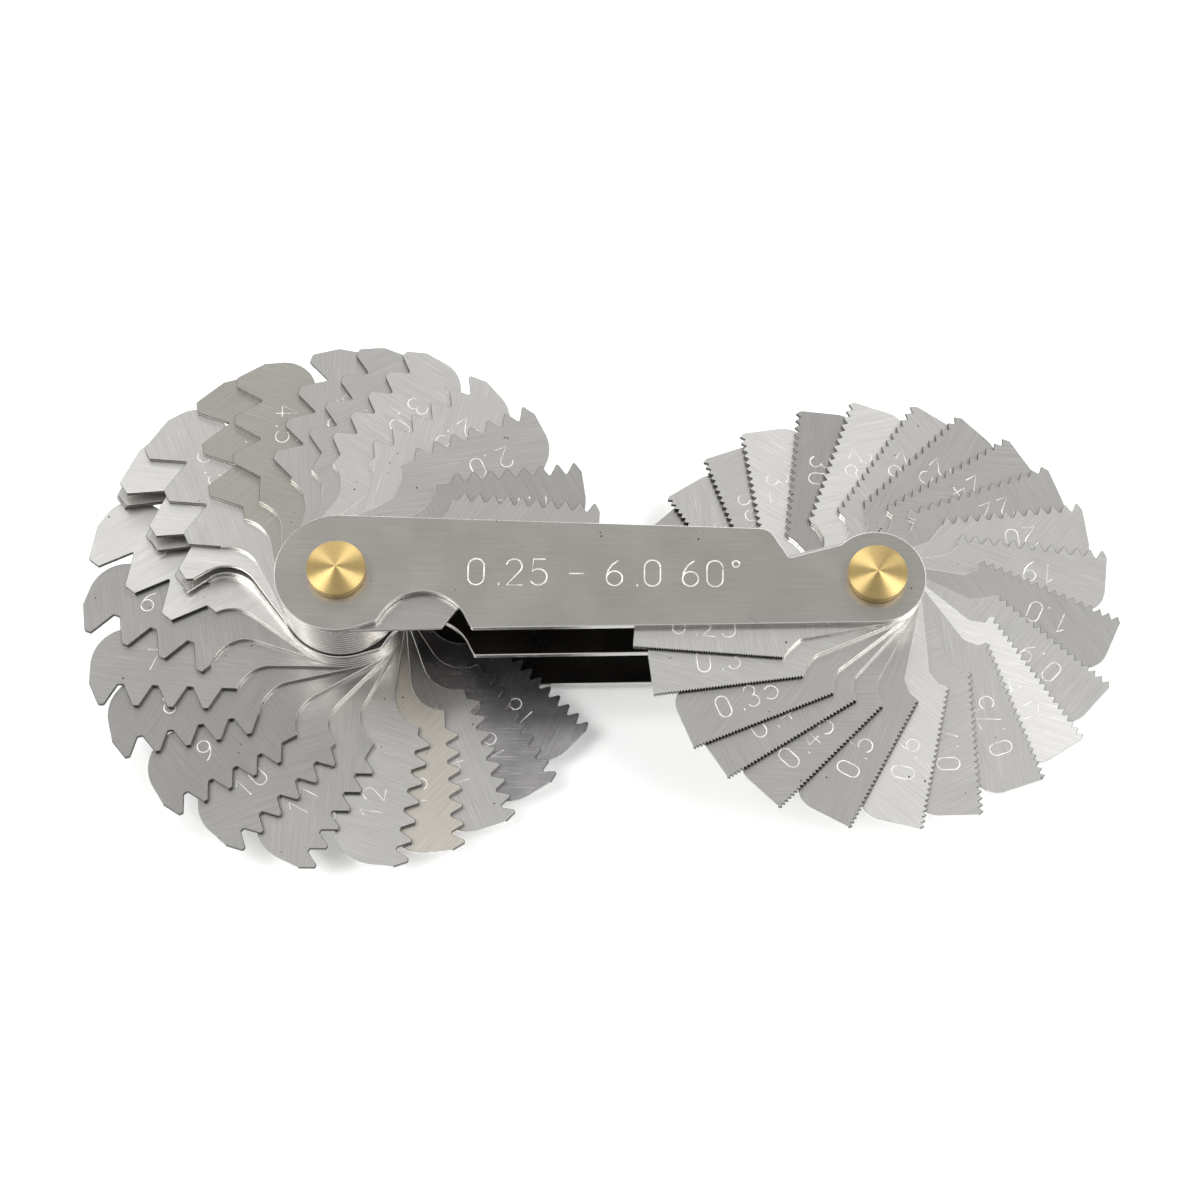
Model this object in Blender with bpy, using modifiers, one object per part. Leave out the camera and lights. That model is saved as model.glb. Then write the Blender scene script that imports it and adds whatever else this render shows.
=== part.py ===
"""Double-ended screw pitch gauge: 52 thread leaves in two bays of a three-plate case, on two brass rivets.

The origin is on the left rivet's axis, in the plane that the two rear rivet caps rest on. X runs along the case
to the right rivet, Y towards the fans of the upper side, and Z up through the stack. Units are metres.
"""

import math

import bpy

MM = 0.001

# Leaves
LEAF_THICKNESS = 0.50 * MM
STACK_GAP = 0.04 * MM  # free play between any two pieces of the stack
COARSE_TANG_RADIUS = 6.2 * MM
COARSE_REACH = 26.0 * MM  # from the pivot to the square end, along the tooth line
WIDE_CREST_EXTRA = 0.8 * MM  # how much further a leaf with wide crests reaches
COARSE_TOOTH_LINE = 10.35 * MM  # from the pivot to mid tooth height, across the leaf
HEEL_REACH = 10.65 * MM  # from the pivot to where the hollow of the neck cuts the tooth row
NECK_RISE = 0.2 * MM  # edge of the neck over the tang circle
HOLLOW_DROP = 0.3 * MM  # centre of the neck's hollow under the tooth line
SHOULDER = (12.1 * MM, -1.7 * MM)
SHOULDER_FOOT = (13.2 * MM, 1.9 * MM, 0.5 * MM)  # x, y and corner radius, as for the next two
SQUARE_CORNER = (0.3 * MM, 3.2 * MM, 4.2 * MM)  # x from the end of the tooth row
WIDE_CORNER = (0.45 * MM, 3.7 * MM, 3.5 * MM)
FINE_TANG_RADIUS = 4.85 * MM
FINE_REACH = 24.2 * MM
FINE_TOOTH_LINE = 9.3 * MM
FINE_TOOTHED_LENGTH = 15.2 * MM
FINE_BACK = (3.3 * MM, 2.6 * MM)  # height of the back corner over the pivot, and its radius
FINE_HEEL = (8.5 * MM, 1.0 * MM)  # from the pivot, and under the tooth line
FINE_HOLLOW = (7.4 * MM, 2.25 * MM, 1.2 * MM)  # from the pivot, over the tang circle, and its radius
FINE_NECK = (5.5 * MM, 1.75 * MM)  # from the pivot, and over the tang circle

# Case
FACING_CLEARANCE = 4.8 * MM  # between the tooth rows of two leaves that are folded in from both ends
PIVOT_SPACING = COARSE_REACH + FINE_REACH + FACING_CLEARANCE
CHEEK_THICKNESS = 0.8 * MM
MIDDLE_THICKNESS = 0.8 * MM
LEFT_END_MARGIN = 0.2 * MM  # from the edge of the coarse tangs to the round end that covers them
RIGHT_END_MARGIN = 0.15 * MM
LEFT_END_RADIUS = COARSE_TANG_RADIUS + LEFT_END_MARGIN
RIGHT_END_RADIUS = FINE_TANG_RADIUS + RIGHT_END_MARGIN
LEFT_END_STOP = 292.0  # degrees round the left rivet at which the round end gives way to the thumb notch
RIGHT_END_STOP = 135.0  # the same at the right rivet, for the nail notch
THUMB_NOTCH_REACH = 8.9 * MM  # from the left rivet
THUMB_NOTCH_RADIUS = 4.8 * MM
THUMB_NOTCH_DROP = 0.45 * MM  # centre of the notch beyond the end radius
THUMB_NOTCH_ARC = (150.0, 20.0)  # degrees about its own centre
THUMB_HORN = (1.062, -51.9, 0.8 * MM)  # reach in end radii, direction in degrees, and corner radius
THUMB_LIP = (1.04, 0.3 * MM)  # beyond the centre in notch radii, and corner radius
NAIL_NOTCH_REACH = 8.9 * MM  # from the right rivet
NAIL_NOTCH_DEPTH = 3.0 * MM  # from the end radius
NAIL_NOTCH_LIP = 10.9 * MM
NAIL_NOTCH_CORNERS = (0.3 * MM, 1.8 * MM)  # radii at its bottom and its lip

# Rivets
SHANK_RADIUS = 2.0 * MM
RUNNING_CLEARANCE = 0.08 * MM  # bore corner radius over shank corner radius
SEAT_CLEARANCE = 0.04 * MM  # cap socket over shank, and the gap under the shank's end
HEAD_OVERHANG = 1.0 * MM
HEAD_RADIUS = SHANK_RADIUS + HEAD_OVERHANG
HEAD_RIM = 1.05 * MM
HEAD_CONE = 0.45 * MM
CAP_HEIGHT = 1.0 * MM
CAP_SOCKET_DEPTH = 0.6 * MM
CAP_CHAMFER = 0.2 * MM

# Thread forms: included angle, depth of the leaf's tooth as a share of the pitch, and the crests' share of the flats
METRIC_FORM = (60.0, 0.65, 0.5)
METRIC_WIDE_FORM = (60.0, 0.65, 1.0)
WHITWORTH_FORM = (55.0, 0.64, 0.5)
WHITWORTH_WIDE_FORM = (55.0, 0.70, 1.0)
INCH = 25.4 * MM
FLATTED_FROM = 1.2 * MM  # a finer tooth than this is cut to a sharp V
METRIC_WIDE_FROM = 2.9 * MM  # from this pitch up, the roots are sharp and the crests take all of the flat
WHITWORTH_WIDE_FROM = 5.0 * MM

# Facets
SAME_POINT = 0.05 * MM  # the neck starts no nearer than this to the last tooth point
LOWEST_LEDGE = -0.9  # sine of the lowest direction from the hollow's centre at which the neck may start
BORE_FACETS = 16
HEAD_FACETS = 32
ARC_STEP = 12.0  # degrees of a round stretch that one facet spans

# Each leaf: pitch in mm, or threads per inch, then crests on a coarse leaf, then its direction in degrees.
# Every list runs from the top of its bay to the bottom.
LEFT_METRIC = [
    (1.25, 12, -20), (1.5, 10, -5), (1.75, 8, 6), (2.0, 7, 24), (2.5, 6, 38), (3.0, 5, 54),
    (3.5, 4, 64), (4.0, 4, 74), (4.5, 3, 91), (5.0, 3, 101), (5.5, 3, 116), (6.0, 3, 125),
]
LEFT_WHITWORTH = [
    (4, 3, 126), (4.5, 3, 127), (5, 3, 143), (6, 4, 160), (7, 4, 178), (8, 5, 192), (9, 5, 210),
    (10, 6, 226), (11, 6, 242), (12, 7, 262), (13, 7, 275), (14, 8, 288), (16, 9, 301), (18, 10, 315),
]
RIGHT_METRIC = [
    (0.25, 176), (0.3, 188), (0.35, 203), (0.4, 213), (0.45, 226), (0.5, 242),
    (0.6, 258), (0.7, 272), (0.75, 289), (0.8, 303), (0.9, 318), (1.0, 335),
]
RIGHT_WHITWORTH = [
    (19, 353), (20, 7), (22, 20), (24, 32), (25, 45), (26, 56), (28, 71),
    (30, 84), (32, 99), (36, 110), (40, 123), (48, 133), (60, 143), (62, 153),
]


def polar(radius, degrees, centre=(0.0, 0.0)):
    """The point at an angle on a circle."""
    angle = math.radians(degrees)
    return (centre[0] + radius * math.cos(angle), centre[1] + radius * math.sin(angle))


def arc(centre, radius, start, end):
    """Points along an arc from one angle to another, either way round, in degrees."""
    steps = max(2, math.ceil(abs(end - start) / ARC_STEP))
    return [polar(radius, start + (end - start) * i / steps, centre) for i in range(steps + 1)]


def rounded(corners):
    """An open chain of corners (x, y, radius), with each inner corner turned into a tangent arc."""
    points = [corners[0][:2]]
    for before, corner, after in zip(corners, corners[1:], corners[2:]):
        x, y, radius = corner
        arrive = math.atan2(y - before[1], x - before[0])
        leave = math.atan2(after[1] - y, after[0] - x)
        turn = math.remainder(leave - arrive, math.tau)
        if radius == 0 or abs(turn) < math.radians(1):
            points.append((x, y))
            continue
        tangent = radius * math.tan(abs(turn) / 2)
        side = math.copysign(1, turn)
        start = (x - tangent * math.cos(arrive), y - tangent * math.sin(arrive))
        centre = (start[0] - side * radius * math.sin(arrive), start[1] + side * radius * math.cos(arrive))
        first = math.degrees(arrive) - side * 90
        points += arc(centre, radius, first, first + math.degrees(turn))
    return points + [corners[-1][:2]]


def tooth_row(pitch, form, crests, last_foot, line):
    """Tooth corners from the tip end to the heel, along a line parallel to X."""
    angle, depth_share, crest_share = form
    depth = depth_share * pitch
    flank = depth * math.tan(math.radians(angle / 2))
    flats = pitch - 2 * flank
    top, root = line + depth / 2, line - depth / 2
    points = []
    for i in range(crests):
        foot = last_foot - i * pitch
        if pitch < FLATTED_FROM:
            points += [(foot, root), (foot - pitch / 2, top)]
            continue
        points += [
            (foot, root),
            (foot - flank, top),
            (foot - flank - flats * crest_share, top),
        ]
        if crest_share < 1.0:
            points.append((foot - 2 * flank - flats * crest_share, root))
    if points[-1][1] == top:
        points.append((last_foot - crests * pitch, root))
    return points


def cut_at_heel(teeth, heel):
    """The tooth row without what lies nearer to the pivot than the heel."""
    while teeth[-2][0] < heel:
        teeth = teeth[:-1]
    (x, y), (inner_x, inner_y) = teeth[-2:]
    if inner_x >= heel:
        return teeth
    return teeth[:-1] + [(heel, y + (inner_y - y) * (x - heel) / (x - inner_x))]


def bore(centre=(0.0, 0.0)):
    """The round hole of a leaf or plate on a rivet shank."""
    radius = SHANK_RADIUS + RUNNING_CLEARANCE
    return [polar(radius, 360 * i / BORE_FACETS, centre) for i in range(BORE_FACETS)]


def coarse_leaf(pitch, form, crests):
    """A left-hand leaf: round tang, hollow neck, nail shoulder on its back, square end with a round back corner."""
    wide = form[2] == 1.0
    reach = COARSE_REACH + (WIDE_CREST_EXTRA if wide else 0.0)
    teeth = cut_at_heel(tooth_row(pitch, form, crests, reach, COARSE_TOOTH_LINE), HEEL_REACH)
    corner_x, corner_y, corner_radius = WIDE_CORNER if wide else SQUARE_CORNER
    tip_side = rounded([
        (*SHOULDER, 0),
        (*SHOULDER, 0),
        SHOULDER_FOOT,
        (reach + corner_x, corner_y, corner_radius),
        (*teeth[0], 0),
    ])[1:-1]
    hollow_y = COARSE_TOOTH_LINE - HOLLOW_DROP
    hollow_radius = hollow_y - COARSE_TANG_RADIUS - NECK_RISE
    hollow = (HEEL_REACH - hollow_radius, hollow_y)
    ledge = math.degrees(math.asin(max(LOWEST_LEDGE, min(0.0, (teeth[-1][1] - hollow_y) / hollow_radius))))
    neck = arc(hollow, hollow_radius, ledge, -90)
    if neck[0][0] > teeth[-1][0] - SAME_POINT:
        neck = neck[1:]
    tang = arc((0, 0), COARSE_TANG_RADIUS, tangent_angle(neck[-1], COARSE_TANG_RADIUS, 1),
               tangent_angle(SHOULDER, COARSE_TANG_RADIUS, -1) + 360)
    return tip_side + teeth + neck + tang


def fine_leaf(pitch, form):
    """A right-hand leaf: a flag-shaped blade with straight back, hollow heel and rounded back corner."""
    crests = int(FINE_TOOTHED_LENGTH / pitch) + 1
    teeth = tooth_row(pitch, form, crests, FINE_REACH, FINE_TOOTH_LINE)
    back_y, back_radius = FINE_BACK
    back_corner = (FINE_REACH, back_y)
    heel = (FINE_HEEL[0], FINE_TOOTH_LINE - FINE_HEEL[1])
    hollow = (FINE_HOLLOW[0], FINE_TANG_RADIUS + FINE_HOLLOW[1], FINE_HOLLOW[2])
    neck = (FINE_NECK[0], FINE_TANG_RADIUS + FINE_NECK[1])
    back = tangent_angle(back_corner, FINE_TANG_RADIUS, -1)
    tip_side = rounded([
        (*polar(FINE_TANG_RADIUS, back), 0),
        (*back_corner, back_radius),
        (FINE_REACH, teeth[0][1], 0),
    ])[1:-1]
    heel_side = rounded([(*teeth[-1], 0), (*heel, 0), hollow, (*neck, 0)])[1:]
    tang = arc((0, 0), FINE_TANG_RADIUS, tangent_angle(neck, FINE_TANG_RADIUS, 1), back + 360)
    return tip_side + teeth + heel_side + tang


def tangent_angle(point, radius, side):
    """Where a line from an outside point touches the tang circle: side 1 on the tooth side, -1 on the back."""
    away = math.atan2(point[1], point[0])
    half = math.acos(radius / math.hypot(*point))
    return math.degrees(away + side * half)


def case_plate():
    """Outline of a cheek or the middle plate: two round ends, straight sides and a nail notch at each end."""
    taper = math.degrees(math.asin((LEFT_END_RADIUS - RIGHT_END_RADIUS) / PIVOT_SPACING))
    right_end = (PIVOT_SPACING, 0.0)

    def edge(x):
        """Half width of the plate at x."""
        slope = math.tan(math.radians(taper))
        return LEFT_END_RADIUS / math.cos(math.radians(taper)) - slope * x

    thumb_centre = (THUMB_NOTCH_REACH, -(LEFT_END_RADIUS + THUMB_NOTCH_DROP))
    left_arc = arc((0, 0), LEFT_END_RADIUS, 90 - taper, LEFT_END_STOP)
    thumb = arc(thumb_centre, THUMB_NOTCH_RADIUS, *THUMB_NOTCH_ARC)
    horn_reach, horn_direction, horn_radius = THUMB_HORN
    into_thumb = rounded([
        (*left_arc[-1], 0),
        (*polar(horn_reach * LEFT_END_RADIUS, horn_direction), horn_radius),
        (*thumb[0], 0),
    ])[1:-1]
    lip_reach, lip_radius = THUMB_LIP
    thumb_lip = thumb_centre[0] + lip_reach * THUMB_NOTCH_RADIUS
    out_of_thumb = rounded([
        (*thumb[-1], 0),
        (thumb_lip, -edge(thumb_lip), lip_radius),
        (PIVOT_SPACING / 2, -edge(PIVOT_SPACING / 2), 0),
    ])[1:-1]
    right_arc = arc(right_end, RIGHT_END_RADIUS, taper - 90, RIGHT_END_STOP)
    nail_lip = PIVOT_SPACING - NAIL_NOTCH_LIP
    bottom_radius, nail_lip_radius = NAIL_NOTCH_CORNERS
    nail_notch = rounded([
        (*right_arc[-1], 0),
        (PIVOT_SPACING - NAIL_NOTCH_REACH, RIGHT_END_RADIUS - NAIL_NOTCH_DEPTH, bottom_radius),
        (nail_lip, edge(nail_lip), nail_lip_radius),
        (PIVOT_SPACING / 2, edge(PIVOT_SPACING / 2), 0),
    ])[1:-1]
    return left_arc + into_thumb + thumb + out_of_thumb + right_arc + nail_notch


def steel(name, colour, roughness):
    """A ground steel or brass material."""
    material = bpy.data.materials.new(name)
    material.use_nodes = True
    shader = material.node_tree.nodes["Principled BSDF"]
    shader.inputs["Base Color"].default_value = (*colour, 1.0)
    shader.inputs["Metallic"].default_value = 1.0
    shader.inputs["Roughness"].default_value = roughness
    return material


def add_sheet(name, outlines, thickness, pivot_x, base, degrees, material, collection):
    """A flat piece of sheet metal with round holes, from z = base up, turned about its pivot."""
    curve = bpy.data.curves.new(name, "CURVE")
    curve.dimensions = "2D"
    curve.fill_mode = "BOTH"
    curve.extrude = thickness / 2
    for outline in outlines:
        spline = curve.splines.new("POLY")
        spline.points.add(len(outline) - 1)
        spline.use_cyclic_u = True
        for point, (x, y) in zip(spline.points, outline):
            point.co = (x, y, 0.0, 1.0)
    curve.materials.append(material)
    sheet = bpy.data.objects.new(name, curve)
    sheet.location = (pivot_x, 0.0, base + thickness / 2)
    sheet.rotation_euler.z = math.radians(degrees)
    collection.objects.link(sheet)
    return sheet


def add_turned(name, profile, pivot_x, facets, material, collection):
    """A turned piece about a rivet's axis: profile of (radius, height), from the top of the axis down its outside."""
    mesh = bpy.data.meshes.new(name)
    points = [(radius, 0.0, height) for radius, height in profile]
    mesh.from_pydata(points, [(i, i + 1) for i in range(len(points) - 1)], [])
    mesh.materials.append(material)
    turned = bpy.data.objects.new(name, mesh)
    turned.location.x = pivot_x
    screw = turned.modifiers.new("turned", "SCREW")
    screw.steps = facets
    screw.render_steps = facets
    screw.use_merge_vertices = True
    screw.merge_threshold = 0.01 * MM
    collection.objects.link(turned)
    return turned


def thread_form(pitch, metric):
    """The tooth form of a leaf of this pitch."""
    if metric:
        return METRIC_WIDE_FORM if pitch >= METRIC_WIDE_FROM else METRIC_FORM
    return WHITWORTH_WIDE_FORM if pitch >= WHITWORTH_WIDE_FROM else WHITWORTH_FORM


def leaf_name(pitch, metric):
    """Node name from the leaf's pitch, such as metric_leaf_1_25mm."""
    number = f"{pitch:g}".replace(".", "_")
    return f"metric_leaf_{number}mm" if metric else f"whitworth_leaf_{number}tpi"


def add_leaves(rows, metric, coarse, pivot_x, bay_floor, material, collection):
    """One end's leaves of one bay, listed from the top of the stack down."""
    for level, row in enumerate(reversed(rows)):
        size, degrees = row[0], row[-1]
        pitch = size * MM if metric else INCH / size
        form = thread_form(pitch, metric)
        outline = coarse_leaf(pitch, form, row[1]) if coarse else fine_leaf(pitch, form)
        base = bay_floor + STACK_GAP + level * (LEAF_THICKNESS + STACK_GAP)
        add_sheet(leaf_name(size, metric), [outline, bore()], LEAF_THICKNESS, pivot_x, base, degrees,
                  material, collection)


def bay_height(leaves):
    """Height between two plates with this many leaves between them."""
    return leaves * LEAF_THICKNESS + (leaves + 1) * STACK_GAP


def clear_scene():
    """Removes the startup objects."""
    for obj in list(bpy.data.objects):
        bpy.data.objects.remove(obj, do_unlink=True)


def main():
    clear_scene()
    collection = bpy.data.collections.new("screw_pitch_gauge")
    bpy.context.scene.collection.children.link(collection)
    cheek_steel = steel("cheek_steel", (0.40, 0.39, 0.37), 0.35)
    gauge_steel = steel("gauge_steel", (0.46, 0.45, 0.43), 0.32)
    rivet_brass = steel("rivet_brass", (0.62, 0.42, 0.14), 0.25)

    rear_cheek = CAP_HEIGHT + STACK_GAP
    rear_bay = rear_cheek + CHEEK_THICKNESS
    middle = rear_bay + bay_height(len(LEFT_WHITWORTH))
    front_bay = middle + MIDDLE_THICKNESS
    front_cheek = front_bay + bay_height(len(LEFT_METRIC))
    head = front_cheek + CHEEK_THICKNESS + STACK_GAP

    holes = [bore(), bore((PIVOT_SPACING, 0.0))]
    for name, thickness, base in (
        ("rear_cheek", CHEEK_THICKNESS, rear_cheek),
        ("middle_plate", MIDDLE_THICKNESS, middle),
        ("front_cheek", CHEEK_THICKNESS, front_cheek),
    ):
        add_sheet(name, [case_plate()] + holes, thickness, 0.0, base, 0.0, cheek_steel, collection)

    add_leaves(LEFT_WHITWORTH, False, True, 0.0, rear_bay, gauge_steel, collection)
    add_leaves(RIGHT_WHITWORTH, False, False, PIVOT_SPACING, rear_bay, gauge_steel, collection)
    add_leaves(LEFT_METRIC, True, True, 0.0, front_bay, gauge_steel, collection)
    add_leaves(RIGHT_METRIC, True, False, PIVOT_SPACING, front_bay, gauge_steel, collection)

    socket_floor = CAP_HEIGHT - CAP_SOCKET_DEPTH
    rivet = [
        (0.0, head + HEAD_RIM + HEAD_CONE),
        (HEAD_RADIUS, head + HEAD_RIM),
        (HEAD_RADIUS, head),
        (SHANK_RADIUS, head),
        (SHANK_RADIUS, socket_floor + SEAT_CLEARANCE),
        (0.0, socket_floor + SEAT_CLEARANCE),
    ]
    cap = [
        (0.0, socket_floor),
        (SHANK_RADIUS + RUNNING_CLEARANCE, socket_floor),
        (SHANK_RADIUS + RUNNING_CLEARANCE, CAP_HEIGHT),
        (HEAD_RADIUS, CAP_HEIGHT),
        (HEAD_RADIUS, CAP_CHAMFER),
        (HEAD_RADIUS - CAP_CHAMFER, 0.0),
        (0.0, 0.0),
    ]
    for side, pivot_x in (("left", 0.0), ("right", PIVOT_SPACING)):
        add_turned(f"{side}_rivet_pin", rivet, pivot_x, BORE_FACETS, rivet_brass, collection)
        add_turned(f"{side}_rear_rivet_cap", cap, pivot_x, HEAD_FACETS, rivet_brass, collection)


main()
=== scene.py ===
"""The looks of a double-ended screw pitch gauge: toothed leaves, case plates, brass rivets and a studio.

Every piece is built where it lies in the row frame, in metres. The origin is on the left rivet's axis, X runs
along the case to the right rivet, Y away from the viewer, and Z up through the stack.
"""

import logging
import math
from collections.abc import Iterable, Sequence
from dataclasses import dataclass, field
from enum import Enum

import bmesh
import bpy
from mathutils import Matrix, Vector


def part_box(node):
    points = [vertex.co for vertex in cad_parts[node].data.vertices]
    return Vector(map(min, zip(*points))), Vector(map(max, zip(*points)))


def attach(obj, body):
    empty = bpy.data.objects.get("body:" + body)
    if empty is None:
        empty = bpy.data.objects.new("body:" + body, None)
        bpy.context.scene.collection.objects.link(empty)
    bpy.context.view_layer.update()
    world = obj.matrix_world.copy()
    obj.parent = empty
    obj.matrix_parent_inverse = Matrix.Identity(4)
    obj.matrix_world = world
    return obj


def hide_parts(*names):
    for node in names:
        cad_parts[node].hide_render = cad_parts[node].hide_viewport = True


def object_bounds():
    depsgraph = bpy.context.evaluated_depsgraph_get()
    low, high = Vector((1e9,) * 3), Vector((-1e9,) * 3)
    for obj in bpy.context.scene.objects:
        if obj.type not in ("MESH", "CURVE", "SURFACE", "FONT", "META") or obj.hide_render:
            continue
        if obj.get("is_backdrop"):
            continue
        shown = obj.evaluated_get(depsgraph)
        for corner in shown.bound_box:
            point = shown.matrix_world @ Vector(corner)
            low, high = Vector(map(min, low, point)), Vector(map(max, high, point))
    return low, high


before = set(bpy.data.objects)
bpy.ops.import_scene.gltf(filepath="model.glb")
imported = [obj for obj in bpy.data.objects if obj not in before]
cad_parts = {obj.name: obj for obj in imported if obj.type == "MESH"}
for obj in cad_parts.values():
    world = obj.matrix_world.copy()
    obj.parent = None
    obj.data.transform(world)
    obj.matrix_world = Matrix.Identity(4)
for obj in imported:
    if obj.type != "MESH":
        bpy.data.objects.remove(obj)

log = logging.getLogger("screw_pitch_gauge")

MM = 0.001
INCH = 25.4 * MM
FINE_ARC = 5.0  # degrees of a round stretch that one facet spans
SHORT_CHORD = 0.12 * MM  # no facet of a small radius is shorter than about this
SAME_POINT = 0.002 * MM  # vertices nearer to each other than this become one
TOUCHING = 0.05 * MM  # outline points nearer to each other than this count as one place
FLAT = 0.9  # upward or downward share of a normal from which a face is part of a flat side
MAP = "local_mm"  # each piece's own UV map, in millimetres
SHARP_TURN = 28.0  # degrees between two faces from which their shared edge is shaded sharp
BORE_RADIUS = 2.04 * MM

# Thread cutting
WIDE_METRIC_FROM = 2.9 * MM  # from this pitch up a metric crest takes all of the flat
WIDE_WHITWORTH_FROM = 5.0 * MM
SHARP_BELOW = 1.2 * MM  # a finer tooth than this is a sharp V
ROOT_RADIUS = (0.05, 0.14 * MM)  # as a share of the pitch, and at most
CREST_RADIUS = (0.10, 0.32 * MM)

# Broken edges, and the numbers that are stamped
LEAF_EDGE = (0.06, 0.045 * MM)  # as a share of the pitch, and at most
PLATE_EDGE = 0.08 * MM
LEAF_NUMERAL = 2.3 * MM  # height
LEAF_GROOVE = 0.058 * MM  # depth of a stroke, and half its width
CHEEK_NUMERAL = 2.9 * MM
CHEEK_GROOVE = 0.075 * MM
CHEEK_TEXT = (27.6 * MM, 0.15 * MM)  # middle of the text

# How the marks of two pieces differ
GRAIN_TURN = 53.0  # degrees from one leaf's grain to the next
LEAF_SHIFT = 40.0  # mm along the pattern from one leaf to the next
PLATE_SHIFT = 300.0

Point = tuple[float, float]
Corner = tuple[float, float, float]  # x, y and the radius that rounds it


# ---- Outlines ----


def polar(radius: float, degrees: float, centre: Point = (0.0, 0.0)) -> Point:
    """The point at an angle on a circle."""
    angle = math.radians(degrees)
    return (centre[0] + radius * math.cos(angle), centre[1] + radius * math.sin(angle))


def arc(centre: Point, radius: float, start: float, end: float) -> list[Point]:
    """Points along an arc.

    Args:
        centre: middle of the circle.
        radius: its radius.
        start: first angle in degrees.
        end: last angle in degrees, either way round.

    Returns:
        The points, both ends included.
    """
    length = radius * math.radians(abs(end - start))
    steps = max(2, math.ceil(min(abs(end - start) / FINE_ARC, length / SHORT_CHORD)))
    return [polar(radius, start + (end - start) * i / steps, centre) for i in range(steps + 1)]


def rounded(corners: Sequence[Corner]) -> list[Point]:
    """An open chain of corners with each inner one turned into a tangent arc.

    Args:
        corners: x, y and radius of each corner. A radius of 0 keeps it sharp.

    Returns:
        The points of the chain, its two ends as they were given.
    """
    points = [corners[0][:2]]
    for before, corner, after in zip(corners, corners[1:], corners[2:]):
        x, y, radius = corner
        arrive = math.atan2(y - before[1], x - before[0])
        leave = math.atan2(after[1] - y, after[0] - x)
        turn = math.remainder(leave - arrive, math.tau)
        if radius == 0 or abs(turn) < math.radians(1):
            points.append((x, y))
            continue
        tangent = radius * math.tan(abs(turn) / 2)
        side = math.copysign(1, turn)
        start = (x - tangent * math.cos(arrive), y - tangent * math.sin(arrive))
        centre = (start[0] - side * radius * math.sin(arrive), start[1] + side * radius * math.cos(arrive))
        first = math.degrees(arrive) - side * 90
        points += arc(centre, radius, first, first + math.degrees(turn))
    return points + [corners[-1][:2]]


def tangent_angle(point: Point, radius: float, side: int) -> float:
    """Degrees at which a line from an outside point touches a circle at the origin, on side 1 or -1."""
    away = math.atan2(point[1], point[0])
    return math.degrees(away + side * math.acos(radius / math.hypot(*point)))


class Form(Enum):
    """A thread form: included angle, tooth depth in pitches, and the crests' share of the flats."""

    METRIC = (60.0, 0.65, 0.5)
    METRIC_WIDE = (60.0, 0.65, 1.0)
    WHITWORTH = (55.0, 0.64, 0.5)
    WHITWORTH_WIDE = (55.0, 0.70, 1.0)

    @classmethod
    def of(cls, pitch: float, metric: bool) -> "Form":
        """The form that a leaf of this pitch is cut to."""
        if metric:
            return cls.METRIC_WIDE if pitch >= WIDE_METRIC_FROM else cls.METRIC
        return cls.WHITWORTH_WIDE if pitch >= WIDE_WHITWORTH_FROM else cls.WHITWORTH

    @property
    def depth_share(self) -> float:
        """Tooth depth as a share of the pitch."""
        return self.value[1]

    @property
    def wide(self) -> bool:
        """Whether the crests take all of the flats, so that the roots have none."""
        return self.value[2] == 1.0

    def teeth(self, pitch: float, crests: int, last_foot: float, line: float) -> list[Corner]:
        """Tooth corners from the tip end to the heel.

        Args:
            pitch: distance between two crests.
            crests: number of teeth.
            last_foot: x of the outer foot of the end tooth.
            line: y of mid tooth height.

        Returns:
            The corners, with the small radii that a punched tooth has.
        """
        angle, depth_share, crest_share = self.value
        depth = depth_share * pitch
        flank = depth * math.tan(math.radians(angle / 2))
        flats = pitch - 2 * flank
        top, root = line + depth / 2, line - depth / 2
        sharp = pitch < SHARP_BELOW
        inner = 0.0 if sharp else min(ROOT_RADIUS[0] * pitch, ROOT_RADIUS[1])
        outer = min(CREST_RADIUS[0] * pitch, CREST_RADIUS[1]) if self.wide else inner
        corners: list[Corner] = []
        for i in range(crests):
            foot = last_foot - i * pitch
            if sharp:
                corners += [(foot, root, 0.0), (foot - pitch / 2, top, 0.0)]
                continue
            crest = foot - flank - flats * crest_share
            corners += [(foot, root, inner), (foot - flank, top, outer), (crest, top, inner)]
            if not self.wide:
                corners.append((crest - flank, root, inner))
        if corners[-1][1] == top:
            corners.append((last_foot - crests * pitch, root, inner))
        return corners


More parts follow.
